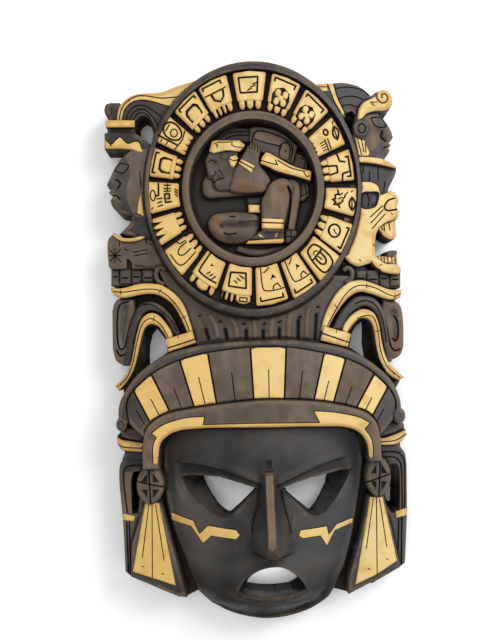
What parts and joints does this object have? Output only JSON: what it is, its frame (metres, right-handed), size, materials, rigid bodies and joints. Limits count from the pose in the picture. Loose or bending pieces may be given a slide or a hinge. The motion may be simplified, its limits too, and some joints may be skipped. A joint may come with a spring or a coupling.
{
  "type": "wall mask",
  "caption": "Carved and painted wooden wall mask: a large face under a feather headdress and a round calendar-like disc, with side heads and scrolls.",
  "frame": {"origin": "centre of the mask's bounding box at its back face, the mask lying on its back", "axes": "+Z out of the face, +Y towards the disc at the top of the mask, +X to the viewer's right"},
  "size_m": [0.3044, 0.5572, 0.0944],
  "materials": {
    "painted_wood": "dark stain with worn brown ridges and pale yellow painted areas, dull satin"
  },
  "bodies": {
    "root": {"mask": "painted_wood"}
  },
  "joints": []
}
